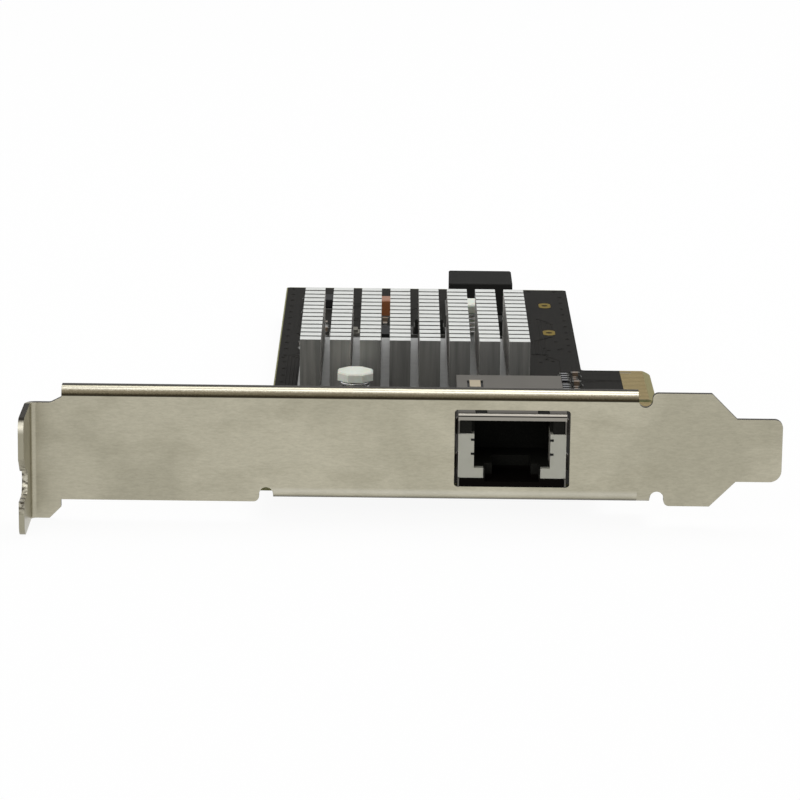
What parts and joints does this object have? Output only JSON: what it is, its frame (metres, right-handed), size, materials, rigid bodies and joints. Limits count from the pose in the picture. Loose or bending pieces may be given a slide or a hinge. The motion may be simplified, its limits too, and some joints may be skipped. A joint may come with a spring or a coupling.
{
  "type": "network interface card",
  "caption": "Plug-in network interface card with a full-height bracket, one shielded RJ45 jack, a pin-fin heat sink held by push pins, and a keyed four-lane edge connector.",
  "frame": {"origin": "middle of the connector's key slot, on the connector's outer edge, half way through the board's thickness", "axes": "+X across the card towards the slot it plugs into, +Y along the card from the bracket to the rear edge, +Z out of the component side"},
  "size_m": [0.12, 0.1573, 0.0215],
  "materials": {
    "solder_mask": "satin",
    "gold_plating": "polished",
    "nickel_plated_sheet": "satin",
    "screw_steel": "polished",
    "shield_sheet": "satin",
    "black_moulding": "matte",
    "milky_lens": "satin",
    "led_resin": "gloss",
    "tinned_wire": "satin",
    "chip_laminate": "satin",
    "chip_resin": "matte",
    "heat_pad": "matte",
    "anodised_aluminium": "satin",
    "pale_nylon": "satin",
    "spring_wire": "polished",
    "inductor_composite": "matte",
    "tinned_sheet": "satin",
    "tantalum_resin": "satin",
    "crystal_can": "satin",
    "ceramic_body": "satin",
    "resistor_glaze": "gloss"
  },
  "bodies": {
    "root": {"circuit_board": "solder_mask", "edge_contacts": "gold_plating", "bracket": "nickel_plated_sheet", "bracket_screws": "screw_steel", "jack_shield": "shield_sheet", "jack_housing": "black_moulding", "jack_lens_left": "milky_lens", "jack_lens_right": "milky_lens", "jack_leds": "led_resin", "jack_contacts": "gold_plating", "jack_module": "black_moulding", "jack_pins": "tinned_wire", "controller_substrate": "chip_laminate", "controller_cap": "chip_resin", "thermal_pad": "heat_pad", "heat_sink": "anodised_aluminium", "push_pins": "pale_nylon", "push_pin_springs": "spring_wire", "power_inductor": "inductor_composite", "power_inductor_terminals": "tinned_sheet", "tantalum_capacitors": "tantalum_resin", "tantalum_terminals": "tinned_sheet", "small_inductors": "inductor_composite", "small_inductor_terminals": "tinned_sheet", "regulator_chips": "chip_resin", "flash_memory": "chip_resin", "flash_memory_leads": "tinned_wire", "crystal": "crystal_can", "ceramic_capacitors": "ceramic_body", "ceramic_capacitor_ends": "tinned_sheet", "chip_resistors": "resistor_glaze", "chip_resistor_ends": "tinned_sheet"}
  },
  "joints": []
}
